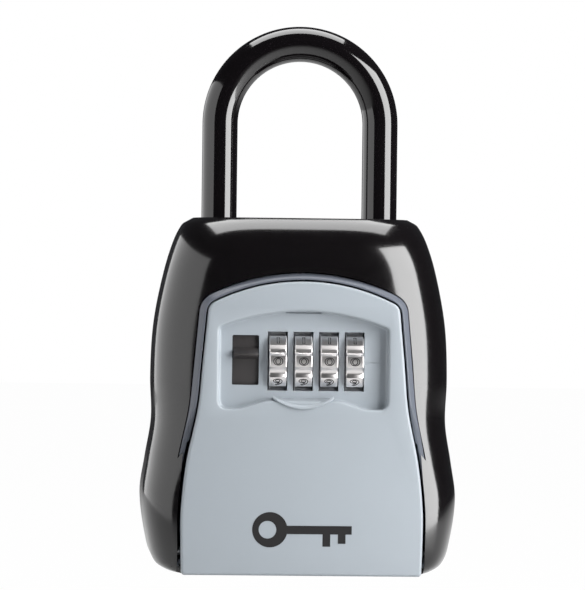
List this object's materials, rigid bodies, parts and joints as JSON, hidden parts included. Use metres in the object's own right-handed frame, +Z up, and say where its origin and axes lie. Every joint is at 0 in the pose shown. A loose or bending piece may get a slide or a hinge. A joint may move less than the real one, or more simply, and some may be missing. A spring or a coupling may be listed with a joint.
{
  "type": "key lock box",
  "caption": "Portable key lock box with a bottom-hinged door, turning number dials, a press-down release slide, a slam bolt and a pull-off covered shackle",
  "frame": {"origin": "middle of the body's footprint on its base, door forward", "axes": "+Z up along the height, +X to the right seen from the door side, +Y to the back; the door faces -Y"},
  "size_m": [0.0828, 0.051, 0.1455],
  "materials": {
    "black_moulding": "satin black moulded elastomer with a fine grain",
    "black_vinyl": "glossy black vinyl tube",
    "door_paint": "light blue-grey satin paint on die-cast zinc",
    "rim_paint": "blue-grey satin paint on die-cast zinc",
    "charcoal_plastic": "matte charcoal moulded nylon",
    "chrome": "bright chrome plate with engraved numbers",
    "zinc_steel": "zinc-plated steel",
    "spring_steel": "plain spring steel",
    "die_cast": "bare die-cast zinc"
  },
  "bodies": {
    "case": {"bumper_shell": "black_moulding", "compartment_liner": "rim_paint", "strike_plate": "zinc_steel", "strike_screw": "zinc_steel", "shackle_socket_left": "black_moulding", "shackle_socket_right": "black_moulding", "latch_housing": "charcoal_plastic", "latch_housing_screw_1": "zinc_steel", "latch_housing_screw_2": "zinc_steel", "latch_spring": "spring_steel", "hinge_pin": "zinc_steel", "liner_screw_1": "zinc_steel", "liner_screw_2": "zinc_steel", "liner_screw_3": "zinc_steel", "liner_screw_4": "zinc_steel"},
    "door": {"door_panel": "door_paint", "mechanism_frame": "die_cast", "mechanism_cover": "charcoal_plastic", "cover_screw_1": "zinc_steel", "cover_screw_2": "zinc_steel", "cover_screw_3": "zinc_steel", "cover_screw_4": "zinc_steel", "detent_spring": "spring_steel", "release_spring": "spring_steel", "bolt_spring": "spring_steel"},
    "release": {"release_slide": "charcoal_plastic", "fence_comb": "zinc_steel", "release_rivet": "zinc_steel"},
    "bolt": {"slam_bolt": "zinc_steel"},
    "reset": {"dial_axle": "zinc_steel", "axle_clip": "spring_steel", "reset_lever": "charcoal_plastic"},
    "shackle": {"shackle_bar": "zinc_steel", "shackle_sleeve": "black_vinyl"},
    "latch": {"shackle_latch": "charcoal_plastic"},
    "dial_wheel_1": {"dial_1": "chrome"},
    "hub_wheel_1": {"hub_1": "zinc_steel"},
    "dial_wheel_2": {"dial_2": "chrome"},
    "hub_wheel_2": {"hub_2": "zinc_steel"},
    "dial_wheel_3": {"dial_3": "chrome"},
    "hub_wheel_3": {"hub_3": "zinc_steel"},
    "dial_wheel_4": {"dial_4": "chrome"},
    "hub_wheel_4": {"hub_4": "zinc_steel"}
  },
  "joints": [
    {"name": "door_hinge", "type": "hinge", "parent": "case", "child": "door", "pos_m": [0, -0.0167, 0.0065], "axis": [1, 0, 0], "range_deg": [0, 95]},
    {"name": "release_press", "type": "slide", "parent": "door", "child": "release", "axis": [0, 0, -1], "range_m": [0, 0.0025], "stiffness_N_per_m": 300, "deforming": ["release_spring"]},
    {"name": "bolt_throw", "type": "slide", "parent": "door", "child": "bolt", "axis": [0, 0, -1], "range_m": [-0.002, 0], "stiffness_N_per_m": 120, "springref_m": -0.004, "deforming": ["bolt_spring"]},
    {"name": "reset_shift", "type": "slide", "parent": "door", "child": "reset", "axis": [1, 0, 0], "range_m": [0, 0.0015]},
    {"name": "shackle_pull", "type": "slide", "parent": "case", "child": "shackle", "axis": [0, 0, 1], "range_m": [0, 0.03]},
    {"name": "latch_slide", "type": "slide", "parent": "case", "child": "latch", "axis": [0, 1, 0], "range_m": [-0.0022, 0], "stiffness_N_per_m": 100, "springref_m": -0.004},
    {"name": "dial_turn_1", "type": "hinge", "parent": "door", "child": "dial_wheel_1", "pos_m": [-0.0067, -0.0152, 0.0565], "axis": [1, 0, 0], "continuous": true},
    {"name": "dial_turn_2", "type": "hinge", "parent": "door", "child": "dial_wheel_2", "pos_m": [0, -0.0152, 0.0565], "axis": [1, 0, 0], "continuous": true},
    {"name": "dial_turn_3", "type": "hinge", "parent": "door", "child": "dial_wheel_3", "pos_m": [0.0067, -0.0152, 0.0565], "axis": [1, 0, 0], "continuous": true},
    {"name": "dial_turn_4", "type": "hinge", "parent": "door", "child": "dial_wheel_4", "pos_m": [0.0134, -0.0152, 0.0565], "axis": [1, 0, 0], "continuous": true},
    {"name": "hub_turn_1", "type": "hinge", "parent": "reset", "child": "hub_wheel_1", "pos_m": [-0.0067, -0.0152, 0.0565], "axis": [1, 0, 0], "continuous": true},
    {"name": "hub_turn_2", "type": "hinge", "parent": "reset", "child": "hub_wheel_2", "pos_m": [0, -0.0152, 0.0565], "axis": [1, 0, 0], "continuous": true},
    {"name": "hub_turn_3", "type": "hinge", "parent": "reset", "child": "hub_wheel_3", "pos_m": [0.0067, -0.0152, 0.0565], "axis": [1, 0, 0], "continuous": true},
    {"name": "hub_turn_4", "type": "hinge", "parent": "reset", "child": "hub_wheel_4", "pos_m": [0.0134, -0.0152, 0.0565], "axis": [1, 0, 0], "continuous": true}
  ],
  "couplings": [
    {"joint": "hub_turn_1", "follows": "dial_turn_1", "ratio": 1},
    {"joint": "hub_turn_2", "follows": "dial_turn_2", "ratio": 1},
    {"joint": "hub_turn_3", "follows": "dial_turn_3", "ratio": 1},
    {"joint": "hub_turn_4", "follows": "dial_turn_4", "ratio": 1}
  ]
}
